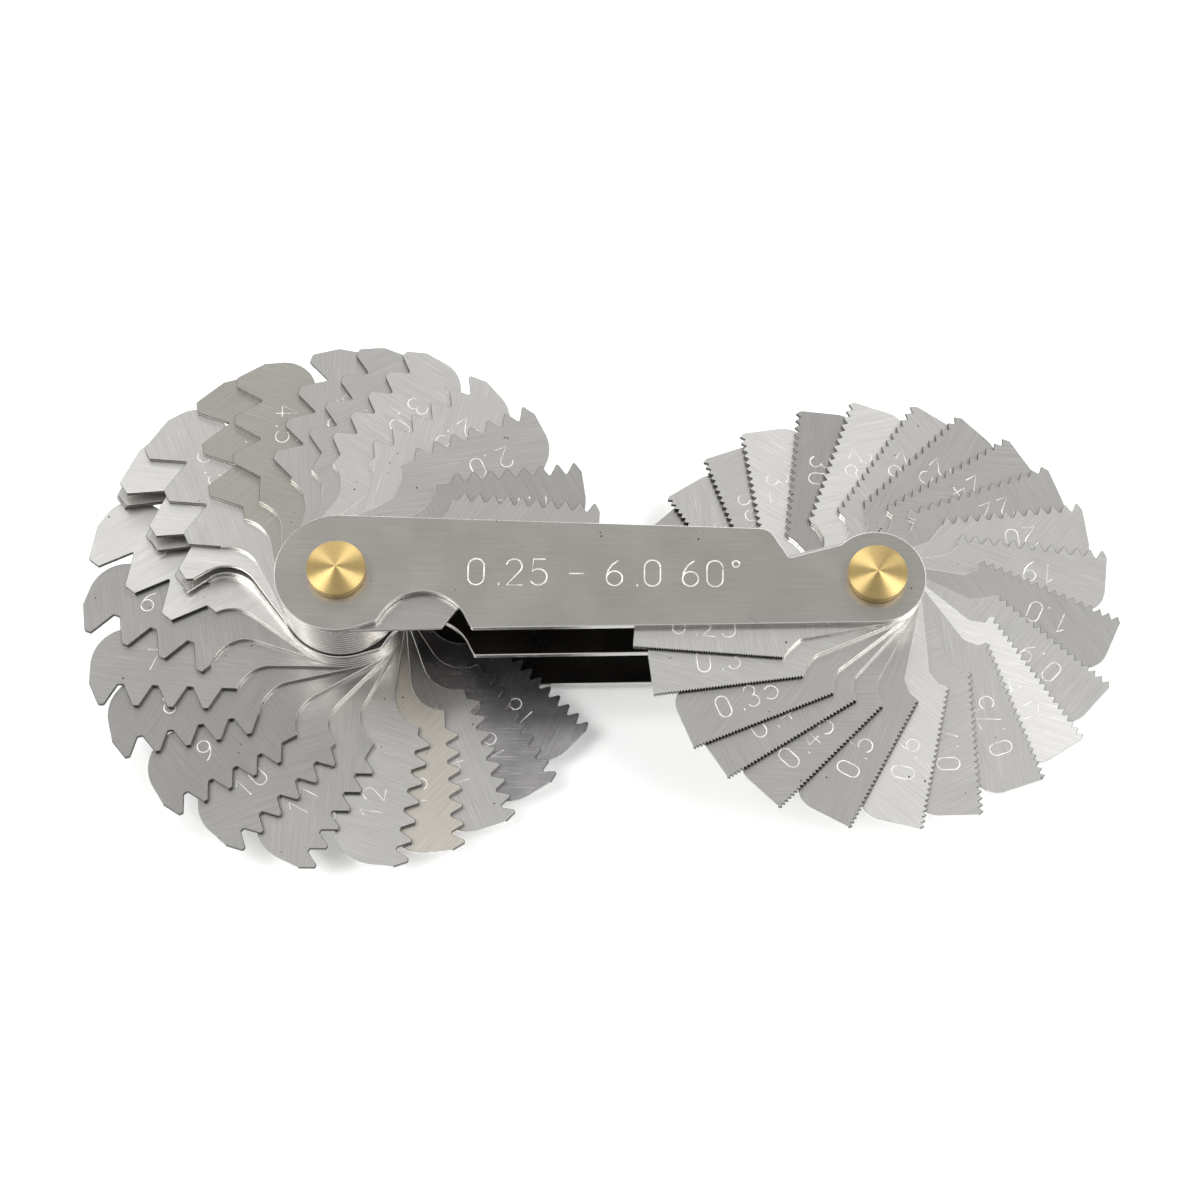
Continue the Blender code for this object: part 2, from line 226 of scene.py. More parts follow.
@dataclass(frozen=True)
class CoarsePattern:
    """A left-hand leaf: round tang, hollow neck, nail shoulder on its back, square end, round corner."""

    tang_radius: float = 6.2 * MM
    reach: float = 26.0 * MM
    wide_extra: float = 0.8 * MM
    tooth_line: float = 10.35 * MM
    heel: float = 10.65 * MM
    neck_rise: float = 0.2 * MM
    hollow_drop: float = 0.3 * MM
    lowest_ledge: float = -0.9  # sine of the lowest direction at which the hollow may start
    shoulder: Point = (12.1 * MM, -1.7 * MM)
    shoulder_foot: Corner = (13.2 * MM, 1.9 * MM, 0.5 * MM)
    square_corner: Corner = (0.3 * MM, 3.2 * MM, 4.2 * MM)  # x from the end of the tooth row
    wide_corner: Corner = (0.45 * MM, 3.7 * MM, 3.5 * MM)
    label: Point = (19.6 * MM, 6.3 * MM)

    def outline(self, pitch: float, form: Form, crests: int) -> list[Point]:
        """The closed outline about the pivot, counter-clockwise."""
        reach = self.reach + (self.wide_extra if form.wide else 0.0)
        teeth = self.cut_at_heel(form.teeth(pitch, crests, reach, self.tooth_line))
        corner_x, corner_y, corner_radius = self.wide_corner if form.wide else self.square_corner
        hollow_y = self.tooth_line - self.hollow_drop
        hollow_radius = hollow_y - self.tang_radius - self.neck_rise
        hollow = (self.heel - hollow_radius, hollow_y)
        drop = min(0.0, (teeth[-1][1] - hollow_y) / hollow_radius)
        ledge = math.degrees(math.asin(max(self.lowest_ledge, drop)))
        neck = arc(hollow, hollow_radius, ledge, -90)
        if neck[0][0] > teeth[-1][0] - TOUCHING:
            neck = neck[1:]
        blade = rounded([
            (*self.shoulder, 0.0),
            (*self.shoulder, 0.0),
            self.shoulder_foot,
            (reach + corner_x, corner_y, corner_radius),
            *teeth,
            (*neck[0], 0.0),
        ])[1:-1]
        tang = arc((0, 0), self.tang_radius, tangent_angle(neck[-1], self.tang_radius, 1),
                   tangent_angle(self.shoulder, self.tang_radius, -1) + 360)
        return blade + neck + tang

    def cut_at_heel(self, teeth: list[Corner]) -> list[Corner]:
        """The tooth row without what lies nearer to the pivot than the heel."""
        while teeth[-2][0] < self.heel:
            teeth = teeth[:-1]
        (x, y, _), (inner_x, inner_y, _) = teeth[-2:]
        if inner_x >= self.heel:
            return teeth
        return teeth[:-1] + [(self.heel, y + (inner_y - y) * (x - self.heel) / (x - inner_x), 0.0)]


@dataclass(frozen=True)
class FinePattern:
    """A right-hand leaf: a flag-shaped blade with straight back, hollow heel and rounded back corner."""

    tang_radius: float = 4.85 * MM
    reach: float = 24.2 * MM
    tooth_line: float = 9.3 * MM
    toothed_length: float = 15.2 * MM
    heel: float = 8.6 * MM
    heel_corner: Point = (8.5 * MM, 8.3 * MM)
    hollow: Corner = (7.4 * MM, 7.1 * MM, 1.2 * MM)
    neck: Point = (5.5 * MM, 6.6 * MM)
    back_height: float = 3.3 * MM
    back_radius: float = 2.6 * MM
    label: Point = (17.2 * MM, 6.4 * MM)

    def outline(self, pitch: float, form: Form, _crests: int) -> list[Point]:
        """The closed outline about the pivot, counter-clockwise."""
        teeth = form.teeth(pitch, int(self.toothed_length / pitch) + 1, self.reach, self.tooth_line)
        back_corner = (self.reach, self.back_height)
        back = tangent_angle(back_corner, self.tang_radius, -1)
        blade = rounded([
            (*polar(self.tang_radius, back), 0.0),
            (*back_corner, self.back_radius),
            *teeth,
            (*self.heel_corner, 0.0),
            self.hollow,
            (*self.neck, 0.0),
        ])[1:]
        tang = arc((0, 0), self.tang_radius, tangent_angle(self.neck, self.tang_radius, 1), back + 360)
        return blade + tang


# ---- Finishes ----


def linear(hex_colour: str) -> tuple[float, float, float, float]:
    """An sRGB hex colour as the linear colour that a shader takes."""
    channels = [int(hex_colour[i:i + 2], 16) / 255 for i in (1, 3, 5)]
    red, green, blue = (c / 12.92 if c <= 0.04045 else ((c + 0.055) / 1.055) ** 2.4 for c in channels)
    return (red, green, blue, 1.0)


def add_node(tree: bpy.types.NodeTree, kind: str, links: dict | None = None,
             **settings: object) -> bpy.types.Node:
    """Adds a shader node.

    Args:
        tree: node tree of the material or world.
        kind: Blender's name for the node.
        links: input name or number to the output socket, or to the value, that goes into it.
        settings: properties of the node.

    Returns:
        The new node.
    """
    node = tree.nodes.new(kind)
    for name, value in settings.items():
        setattr(node, name, value)
    for key, value in (links or {}).items():
        socket = node.inputs[key]
        if isinstance(value, bpy.types.NodeSocket):
            tree.links.new(value, socket)
        else:
            socket.default_value = value
    return node


def ramp(tree: bpy.types.NodeTree, source: bpy.types.NodeSocket, low: float, high: float, start: float,
         end: float) -> bpy.types.NodeSocket:
    """A value that goes from start to end while the source goes from low to high."""
    node = add_node(tree, "ShaderNodeMapRange", {"Value": source, "From Min": low, "From Max": high,
                                                 "To Min": start, "To Max": end})
    return node.outputs["Result"]


@dataclass(frozen=True)
class GroundSteel:
    """Satin ground sheet steel, read in millimetres along the piece's own UV map."""

    name: str
    colour: str
    roughness: float = 0.34
    grain: float = 0.10  # how far the grain darkens and lightens the colour
    scratches: float = 0.16
    soiling: float = 0.10

    def material(self) -> bpy.types.Material:
        """Builds the steel: fine parallel grain, stray scratches, specks of rust and a slight cloudiness."""
        material = bpy.data.materials.new(self.name)
        material.use_nodes = True
        tree = material.node_tree
        shader = tree.nodes["Principled BSDF"]
        place = add_node(tree, "ShaderNodeUVMap", uv_map=MAP).outputs["UV"]

        # Grinding grain, 0.15 mm wide and about 6 mm long. The real one is finer and would not show.
        along = add_node(tree, "ShaderNodeMapping", {"Vector": place, "Scale": (0.16, 6.5, 1.0)}).outputs[0]
        grain = add_node(tree, "ShaderNodeTexNoise",
                         {"Vector": along, "Scale": 1.0, "Detail": 3.0, "Roughness": 0.6}).outputs["Fac"]
        # Cloudiness over some 6 mm, where handling has dulled the face.
        cloud = add_node(tree, "ShaderNodeTexNoise",
                         {"Vector": place, "Scale": 0.17, "Detail": 4.0, "Roughness": 0.55}).outputs["Fac"]
        scratch = self.scratch_marks(tree, place, cloud)

        shade = ramp(tree, grain, 0.3, 0.7, 1.0 - self.grain, 1.0 + self.grain)
        dull = ramp(tree, cloud, 0.3, 0.7, 1.0 + self.soiling, 1.0 - self.soiling)
        shade = add_node(tree, "ShaderNodeMath", {0: shade, 1: dull}, operation="MULTIPLY").outputs[0]
        lift = add_node(tree, "ShaderNodeMath", {0: scratch, 1: self.scratches, 2: shade},
                        operation="MULTIPLY_ADD").outputs[0]
        base = add_node(tree, "ShaderNodeVectorMath", {0: linear(self.colour)[:3], "Scale": lift},
                        operation="SCALE").outputs["Vector"]
        colour = add_node(tree, "ShaderNodeMix",
                          {"Factor": self.specks(tree, place), 6: base, 7: linear("#4A4038")},
                          data_type="RGBA").outputs[2]
        gloss = ramp(tree, cloud, 0.3, 0.7, self.roughness - 0.05, self.roughness + 0.06)
        height = add_node(tree, "ShaderNodeMath", {0: scratch, 1: -0.8, 2: grain},
                          operation="MULTIPLY_ADD").outputs[0]
        # Grinding marks about two micrometres deep.
        bump = add_node(tree, "ShaderNodeBump", {"Strength": 0.35, "Distance": 0.006 * MM, "Height": height})
        tree.links.new(colour, shader.inputs["Base Color"])
        tree.links.new(gloss, shader.inputs["Roughness"])
        tree.links.new(bump.outputs["Normal"], shader.inputs["Normal"])
        shader.inputs["Metallic"].default_value = 1.0
        return material

    @staticmethod
    def scratch_marks(tree: bpy.types.NodeTree, place: bpy.types.NodeSocket,
                      cloud: bpy.types.NodeSocket) -> bpy.types.NodeSocket:
        """Hairline scratches in two directions, a few tenths of a millimetre apart where they bunch.

        Args:
            tree: node tree of the steel.
            place: position on the piece in millimetres.
            cloud: how much each spot has been handled.

        Returns:
            1 on a scratch, 0 off it, and less than 1 where the face has hardly been rubbed.
        """
        families = []
        for turn, seed in ((0.9, 13.0), (-0.55, 71.0)):
            across = add_node(tree, "ShaderNodeMapping",
                              {"Vector": place, "Rotation": (0.0, 0.0, turn),
                               "Location": (seed, seed / 3, 0.0), "Scale": (0.22, 7.0, 1.0)}).outputs[0]
            lines = add_node(tree, "ShaderNodeTexNoise",
                             {"Vector": across, "Scale": 1.0, "Detail": 1.0}).outputs["Fac"]
            families.append(ramp(tree, lines, 0.66, 0.72, 0.0, 1.0))
        both = add_node(tree, "ShaderNodeMath", {0: families[0], 1: families[1]},
                        operation="MAXIMUM").outputs[0]
        rubbed = ramp(tree, cloud, 0.42, 0.62, 0.15, 1.0)
        return add_node(tree, "ShaderNodeMath", {0: both, 1: rubbed}, operation="MULTIPLY").outputs[0]

    @staticmethod
    def specks(tree: bpy.types.NodeTree, place: bpy.types.NodeSocket) -> bpy.types.NodeSocket:
        """Dark specks up to 0.2 mm across, no more than one a square millimetre, in patches."""
        cells = add_node(tree, "ShaderNodeTexVoronoi", {"Vector": place, "Scale": 0.9, "Randomness": 1.0})
        patch = add_node(tree, "ShaderNodeTexNoise",
                         {"Vector": place, "Scale": 0.35, "Detail": 1.0}).outputs["Fac"]
        size = ramp(tree, patch, 0.48, 0.7, 0.0, 0.10)
        return add_node(tree, "ShaderNodeMath", {0: cells.outputs["Distance"], 1: size},
                        operation="LESS_THAN").outputs[0]


@dataclass(frozen=True)
class StampedGroove:
    """The displaced, matt metal at the bottom of a stamped numeral, painted near-white as a painted highlight
    of the light that the strokes catch.
    """

    name: str = "painted_highlight_groove_steel"
    # Near-white: a painted highlight in the grooves.
    colour: str = "#F2F0EC"

    def material(self) -> bpy.types.Material:
        """Builds the groove's steel, with a fine unevenness."""
        material = bpy.data.materials.new(self.name)
        material.use_nodes = True
        tree = material.node_tree
        shader = tree.nodes["Principled BSDF"]
        place = add_node(tree, "ShaderNodeTexCoord").outputs["Object"]
        # Torn metal, about a millimetre from one patch to the next.
        rough = add_node(tree, "ShaderNodeTexNoise",
                         {"Vector": place, "Scale": 900.0, "Detail": 2.0}).outputs["Fac"]
        shade = ramp(tree, rough, 0.3, 0.7, 0.75, 1.05)
        colour = add_node(tree, "ShaderNodeVectorMath", {0: linear(self.colour)[:3], "Scale": shade},
                          operation="SCALE").outputs["Vector"]
        tree.links.new(colour, shader.inputs["Base Color"])
        shader.inputs["Metallic"].default_value = 1.0
        shader.inputs["Roughness"].default_value = 0.5
        return material


@dataclass(frozen=True)
class TurnedBrass:
    """Brass faced off in a lathe: the ring marks spread each light into a bright wedge."""

    name: str = "turned_brass"
    colour: str = "#CBB178"
    roughness: float = 0.42

    def material(self) -> bpy.types.Material:
        """Builds the brass, with turning marks about the axis that its UV map is centred on."""
        material = bpy.data.materials.new(self.name)
        material.use_nodes = True
        tree = material.node_tree
        shader = tree.nodes["Principled BSDF"]
        place = add_node(tree, "ShaderNodeUVMap", uv_map=MAP).outputs["UV"]
        radius = add_node(tree, "ShaderNodeVectorMath", {0: place}, operation="LENGTH").outputs["Value"]
        # Turning marks 0.12 mm apart, uneven by a random feed. The real ones are about half as wide.
        feed = add_node(tree, "ShaderNodeMath", {0: radius, 1: 8.0}, operation="MULTIPLY").outputs[0]
        rings = add_node(tree, "ShaderNodeTexNoise", {"W": feed, "Scale": 1.0, "Detail": 2.0},
                         noise_dimensions="1D").outputs["Fac"]
        # The grooves run round the axis, so the gloss is stretched across them, along the radius.
        parts = add_node(tree, "ShaderNodeSeparateXYZ", {0: place})
        outward = add_node(tree, "ShaderNodeCombineXYZ",
                           {"X": parts.outputs["X"], "Y": parts.outputs["Y"], "Z": 0.0})
        shade = ramp(tree, rings, 0.3, 0.7, 0.88, 1.08)
        colour = add_node(tree, "ShaderNodeVectorMath", {0: linear(self.colour)[:3], "Scale": shade},
                          operation="SCALE").outputs["Vector"]
        bump = add_node(tree, "ShaderNodeBump", {"Strength": 0.5, "Distance": 0.006 * MM, "Height": rings})
        tree.links.new(colour, shader.inputs["Base Color"])
        tree.links.new(outward.outputs[0], shader.inputs["Tangent"])
        tree.links.new(bump.outputs["Normal"], shader.inputs["Normal"])
        shader.inputs["Metallic"].default_value = 1.0
        shader.inputs["Roughness"].default_value = self.roughness
        shader.inputs["Anisotropic"].default_value = 0.95
        return material


class Tone(Enum):
    """The steels of the gauge. Grinding and handling have given each leaf a tone of its own. The last three
    are painted shade, painted shadow and painted highlight.
    """

    # As ground: an even mid grey with a soft sheen.
    SATIN = GroundSteel("satin_leaf_steel", "#B2B0AC")
    # Handled more: a shade darker.
    DULL = GroundSteel("dull_leaf_steel", "#A6A4A1")
    # Handled most: darker again.
    DUSKY = GroundSteel("dusky_leaf_steel", "#9B9996")
    # Under an old film of oil: a faint olive cast and less sheen.
    OLIVE = GroundSteel("olive_leaf_steel", "#A19F97", 0.37, scratches=0.1)
    # Wiped often: lighter, with more hairlines.
    BRIGHT = GroundSteel("bright_leaf_steel", "#C6C4C0", 0.32, scratches=0.25)
    # Hardly handled: pale.
    PALE = GroundSteel("pale_leaf_steel", "#DCDAD6", 0.33, scratches=0.2)
    # Polished once more: almost white.
    WHITISH = GroundSteel("whitish_leaf_steel", "#EEECE8", 0.33, scratches=0.2)
    # Under dried oil: a warm, light beige.
    BEIGE = GroundSteel("beige_leaf_steel", "#CBC5BB", 0.36)
    # Rubbed by its neighbours: glossy and patchy, with bright crossing scratches.
    WORN = GroundSteel("worn_leaf_steel", "#B0ADAE", 0.26, scratches=0.9, soiling=0.3)
    # Brushed along the case: fine lengthwise lines and hardly a stray mark.
    CHEEK = GroundSteel("brushed_cheek_steel", "#A3A09A", 0.33, grain=0.07, scratches=0.06, soiling=0.04)
    # Painted shade: nearly black on the flats inside the case, so that the bays look deep.
    PAINTED_INSIDE_SHADE = GroundSteel("painted_shade_inner_plate_steel", "#3B3835", 0.30, grain=0.05, scratches=0.05)
    # Painted shadow: a dark line round every tooth, where the teeth shade the leaf below.
    PAINTED_TEETH_SHADOW = GroundSteel("painted_shadow_tooth_steel", "#4E4C4A", 0.28, grain=0.04, scratches=0.0, soiling=0.05)
    # Painted highlight: a bright line along backs, necks and plate edges, where these edges catch the light.
    PAINTED_EDGE_HIGHLIGHT = GroundSteel("painted_highlight_edge_steel", "#D6D4D0", 0.24, grain=0.04, scratches=0.0, soiling=0.05)


# ---- Making meshes ----


def sheet(outline: Sequence[Point], holes: Iterable[tuple[Point, float]], thickness: float,
          edge: float) -> bmesh.types.BMesh:
    """A flat piece of sheet metal about z = 0, with round holes and broken edges.

    Args:
        outline: the closed outline, counter-clockwise.
        holes: centre and radius of each hole.
        thickness: of the sheet.
        edge: width of the broken edge.

    Returns:
        The solid as a new BMesh.
    """
    mesh = bmesh.new()
    base = edge - thickness / 2
    corners = [mesh.verts.new((x, y, base)) for x, y in outline]
    for a, b in zip(corners, corners[1:] + corners[:1]):
        mesh.edges.new((a, b))
    for (x, y), radius in holes:
        bmesh.ops.create_circle(mesh, segments=40, radius=radius, matrix=Matrix.Translation((x, y, base)))
    bmesh.ops.remove_doubles(mesh, verts=mesh.verts, dist=SAME_POINT)
    filled = bmesh.ops.triangle_fill(mesh, edges=mesh.edges[:], use_beauty=True, normal=(0, 0, 1))
    faces = [g for g in filled["geom"] if isinstance(g, bmesh.types.BMFace)]
    raised = bmesh.ops.extrude_face_region(mesh, geom=faces, use_keep_orig=True)["geom"]
    lift = Vector((0, 0, thickness - 2 * edge))
    bmesh.ops.translate(mesh, verts=[g for g in raised if isinstance(g, bmesh.types.BMVert)], vec=lift)
    bmesh.ops.recalc_face_normals(mesh, faces=mesh.faces[:])
    caps = [face for face in mesh.faces if abs(face.normal.z) > FLAT]
    bmesh.ops.inset_region(mesh, faces=caps, thickness=edge, depth=edge, use_even_offset=True)
    return mesh


class Stroke:
    """Stamped numerals of one unit's height, each drawn as thin strokes the way a number punch cuts them."""

    WIDTH = 0.56
    ADVANCE = 0.86

    @staticmethod
    def bend(x: float, y: float, radius: float, start: float, end: float) -> list[Point]:
        """A curved stroke, in facets of about 20 degrees."""
        steps = max(3, round(abs(end - start) / 20))
        return [polar(radius, start + (end - start) * i / steps, (x, y)) for i in range(steps + 1)]

    @classmethod
    def strokes(cls, sign: str) -> list[list[Point]]:
        """The strokes of one sign."""
        bend = cls.bend
        six = [bend(0.28, 0.29, 0.28, 178, -182), bend(0.78, 0.29, 0.78, 179, 118)]
        drawn = {
            "0": [bend(0.28, 0.72, 0.28, 0, 180) + bend(0.28, 0.28, 0.28, 180, 360) + [(0.56, 0.70)]],
            "1": [[(0.10, 0.76), (0.34, 1.0), (0.34, 0.0)]],
            "2": [bend(0.28, 0.72, 0.28, 170, -35) + [(0.02, 0.0), (0.58, 0.0)]],
            "3": [bend(0.27, 0.75, 0.25, 160, -80) + bend(0.27, 0.26, 0.27, 80, -160)],
            "4": [[(0.42, 0.0), (0.42, 1.0), (0.0, 0.28), (0.60, 0.28)]],
            "5": [[(0.52, 1.0), (0.10, 1.0), (0.05, 0.52)] + bend(0.27, 0.32, 0.31, 128, -150)],
            "6": six,
            "7": [[(0.0, 1.0), (0.56, 1.0), (0.20, 0.0)]],
            "8": [bend(0.28, 0.76, 0.235, 268, -92), bend(0.28, 0.27, 0.27, 88, -272)],
            "9": [[(cls.WIDTH - x, 1.0 - y) for x, y in stroke] for stroke in six],
            ".": [[(0.22, -0.02), (0.22, 0.09)]],
            "-": [[(0.02, 0.46), (0.54, 0.46)]],
            "°": [bend(0.16, 0.88, 0.12, 0, 350)],
        }
        return drawn.get(sign, [])

    @classmethod
    def advance(cls, sign: str) -> float:
        """How far the next sign starts after this one."""
        return 0.55 * cls.ADVANCE if sign in ". " else cls.ADVANCE


def numerals(text: str, height: float, centre: Point, half_turn: bool, depth: float,
             top: float) -> bpy.types.Object:
    """A cutter of round strokes that sinks numerals into the upper face of a sheet.

    Args:
        text: the numerals.
        height: of a numeral.
        centre: of the whole text.
        half_turn: the text reads from +X to -X, its top towards -Y.
        depth: of the grooves, which is also half their width.
        top: z of the upper face.

    Returns:
        The cutter, which is not part of the object and is removed after use.
    """
    curve = bpy.data.curves.new("numerals", "CURVE")
    curve.dimensions = "3D"
    curve.bevel_depth = depth / MM
    curve.bevel_resolution = 1
    curve.use_fill_caps = True
    scale = height / MM
    length = sum(Stroke.advance(sign) for sign in text) - Stroke.ADVANCE + Stroke.WIDTH
    start = -length / 2
    for sign in text:
        for stroke in Stroke.strokes(sign):
            line = curve.splines.new("POLY")
            line.points.add(len(stroke) - 1)
            for point, (x, y) in zip(line.points, stroke):
                point.co = ((start + x) * scale, (y - 0.5) * scale, 0.0, 1.0)
        start += Stroke.advance(sign)
    holder = bpy.data.objects.new("numerals", curve)
    bpy.context.scene.collection.objects.link(holder)
    bpy.context.view_layer.update()
    graph = bpy.context.evaluated_depsgraph_get()
    solid = bpy.data.meshes.new_from_object(holder.evaluated_get(graph))
    bpy.data.objects.remove(holder, do_unlink=True)
    turn = Matrix.Rotation(math.pi if half_turn else 0.0, 4, "Z")
    mesh = bmesh.new()
    mesh.from_mesh(solid)
    bmesh.ops.remove_doubles(mesh, verts=mesh.verts, dist=0.001)
    bmesh.ops.recalc_face_normals(mesh, faces=mesh.faces[:])
    bmesh.ops.transform(mesh, verts=mesh.verts,
                        matrix=Matrix.Translation((*centre, top)) @ Matrix.Scale(MM, 4) @ turn)
    mesh.to_mesh(solid)
    mesh.free()
    cutter = bpy.data.objects.new("numeral_cutter", solid)
    bpy.context.scene.collection.objects.link(cutter)
    cutter.hide_render = True
    return cutter


def engrave(obj: bpy.types.Object, cutter: bpy.types.Object, groove: bpy.types.Material) -> None:
    """Cuts the numerals into the piece and puts the groove's near-white steel, a painted highlight, on the
    cut faces.

    The cut is made with millimetres as the unit, because the solver loses solids this thin in metres.
    """
    for part in (obj, cutter):
        part.data.transform(Matrix.Scale(1 / MM, 4))
    cutter.data.materials.clear()
    cutter.data.materials.append(groove)
    cut = obj.modifiers.new("numerals", "BOOLEAN")
    cut.operation = "DIFFERENCE"
    cut.solver = "EXACT"
    cut.use_self = True
    cut.material_mode = "TRANSFER"
    cut.object = cutter
    bpy.context.view_layer.update()
    graph = bpy.context.evaluated_depsgraph_get()
    result = bpy.data.meshes.new_from_object(obj.evaluated_get(graph))
    result.transform(Matrix.Scale(MM, 4))
    plain, obj.data = obj.data, result
    obj.modifiers.clear()
    bpy.data.meshes.remove(plain)
    tool = cutter.data
    bpy.data.objects.remove(cutter, do_unlink=True)
    bpy.data.meshes.remove(tool)


def finish_mesh(obj: bpy.types.Object, place: Matrix, grain: float = 0.0, shift: float = 0.0) -> None:
    """Writes the local millimetre map, sets the shading and puts the piece in its place.

    Args:
        obj: the piece, its mesh about its own centre.
        place: where it goes in the row frame.
        grain: degrees that the map is turned, so that the grain runs that way.
        shift: millimetres that the map is moved, so that no two pieces have the same marks.
    """
    mesh = obj.data
    layer = mesh.uv_layers.get(MAP) or mesh.uv_layers.new(name=MAP)
    cos, sin = math.cos(math.radians(grain)), math.sin(math.radians(grain))
    for loop in mesh.loops:
        spot = mesh.vertices[loop.vertex_index].co
        x, y = spot.x / MM, spot.y / MM
        layer.data[loop.index].uv = (x * cos + y * sin + shift, y * cos - x * sin + shift)
    mesh.transform(place)
    mesh.shade_smooth()
    mesh.set_sharp_from_angle(angle=math.radians(SHARP_TURN))


def mark_plate(mesh: bmesh.types.BMesh, inner_up: bool, inner_down: bool) -> None:
    """Sorts the faces of a case plate into material slots: 0 outer flat, 1 edge with a painted highlight, 2
    flat inside the case with painted shade.
    """
    mesh.normal_update()
    for face in mesh.faces:
        if abs(face.normal.z) < FLAT:
            face.material_index = 1
        elif inner_up and face.normal.z > 0 or inner_down and face.normal.z < 0:
            face.material_index = 2


def mark_leaf(mesh: bmesh.types.BMesh, heel: float, root: float) -> None:
    """Sorts the faces of a leaf into material slots: 0 flat, 1 edge with a painted highlight, 2 teeth with a
    painted shadow.

    Args:
        mesh: the leaf, its pivot at the origin.
        heel: x of the inner end of the tooth row.
        root: y of the tooth roots.
    """
    mesh.normal_update()
    for face in mesh.faces:
        if abs(face.normal.z) < FLAT:
            middle = face.calc_center_median()
            toothed = middle.x > heel and middle.y > root - TOUCHING
            # Tooth faces get the painted shadow, the other edges the painted highlight.
            face.material_index = 2 if toothed else 1


def new_piece(name: str, mesh: bmesh.types.BMesh, *materials: bpy.types.Material) -> bpy.types.Object:
    """An object in the scene from a finished BMesh, with these materials in its slots."""
    data = bpy.data.meshes.new(name)
    mesh.to_mesh(data)
    mesh.free()
    for material in materials:
        data.materials.append(material)
    obj = bpy.data.objects.new(name, data)
    bpy.context.scene.collection.objects.link(obj)
    return obj


def report(obj: bpy.types.Object, node: str) -> None:
    """Logs the piece's triangles and how far its box differs from the CAD node's."""
    low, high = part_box(node)
    points = [v.co for v in obj.data.vertices]
    excess = max(
        max(low[i] - min(p[i] for p in points), max(p[i] for p in points) - high[i]) for i in range(3)
    )
    triangles = sum(len(face.vertices) - 2 for face in obj.data.polygons)
    log.info("%s: %d triangles, %.3f mm past the CAD box", obj.name, triangles, excess / MM)


@dataclass
class Workshop:
    """The finished materials, each made once."""

    steels: dict[Tone, bpy.types.Material] = field(default_factory=dict)
    groove: bpy.types.Material = field(default_factory=lambda: StampedGroove().material())
    brass: bpy.types.Material = field(default_factory=lambda: TurnedBrass().material())

    def steel(self, tone: Tone) -> bpy.types.Material:
        """The steel of this tone."""
        if tone not in self.steels:
            self.steels[tone] = tone.value.material()
        return self.steels[tone]


# ---- The gauge ----


@dataclass(frozen=True)
class Leaf:
    """One thread leaf."""

    size: float  # pitch in mm, or threads per inch
    crests: int  # 0 on a fine leaf, whose whole row follows from its length
    degrees: float
    tone: Tone = Tone.SATIN

    def node(self, metric: bool) -> str:
        """Name of the CAD node, which is also the body's."""
        number = f"{self.size:g}".replace(".", "_")
        return f"metric_leaf_{number}mm" if metric else f"whitworth_leaf_{number}tpi"

    def label(self, metric: bool) -> str:
        """The numerals stamped on the leaf."""
        plain = f"{self.size:g}"
        return f"{self.size:.1f}" if metric and "." not in plain else plain

    def build(self, shop: Workshop, pattern: CoarsePattern | FinePattern, metric: bool, pivot_x: float,
              number: int) -> bpy.types.Object:
        """Makes the leaf, stamps it and lays it on its rivet.

        Args:
            shop: the finished materials.
            pattern: the pattern of this end of the gauge.
            metric: whether size is a pitch in mm.
            pivot_x: x of the rivet's axis.
            number: place in the whole set, which makes the marks differ.

        Returns:
            The finished leaf.
        """
        name = self.node(metric)
        low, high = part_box(name)
        thickness = high[2] - low[2]
        pitch = self.size * MM if metric else INCH / self.size
        edge = min(LEAF_EDGE[0] * pitch, LEAF_EDGE[1])
        form = Form.of(pitch, metric)
        blank = sheet(pattern.outline(pitch, form, self.crests), [((0.0, 0.0), BORE_RADIUS)], thickness, edge)
        # Edge faces get a painted highlight and tooth faces a painted shadow.
        mark_leaf(blank, pattern.heel, pattern.tooth_line - form.depth_share * pitch / 2)
        leaf = new_piece(f"{name}_steel", blank, shop.steel(self.tone), shop.steel(Tone.PAINTED_EDGE_HIGHLIGHT),
                         shop.steel(Tone.PAINTED_TEETH_SHADOW))
        label = self.label(metric)
        cutter = numerals(label, LEAF_NUMERAL, pattern.label, True, LEAF_GROOVE, thickness / 2)
        engrave(leaf, cutter, shop.groove)
        place = Matrix.Translation((pivot_x, 0.0, (low[2] + high[2]) / 2)) @ Matrix.Rotation(
            math.radians(self.degrees), 4, "Z")
        finish_mesh(leaf, place, GRAIN_TURN * number % 180 - 90, LEAF_SHIFT * number)
        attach(leaf, name)
        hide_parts(name)
        report(leaf, name)
        return leaf


@dataclass(frozen=True)
class Fan:
    """All the leaves of one bay on one rivet, from the top of the bay down."""

    metric: bool
    pattern: CoarsePattern | FinePattern
    rivet: str
    leaves: tuple[Leaf, ...]

    def build(self, shop: Workshop, first: int) -> list[bpy.types.Object]:
        """Makes every leaf, the first of them with this number in the whole set."""
        low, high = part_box(self.rivet)
        pivot_x = (low[0] + high[0]) / 2
        return [leaf.build(shop, self.pattern, self.metric, pivot_x, first + i)
                for i, leaf in enumerate(self.leaves)]


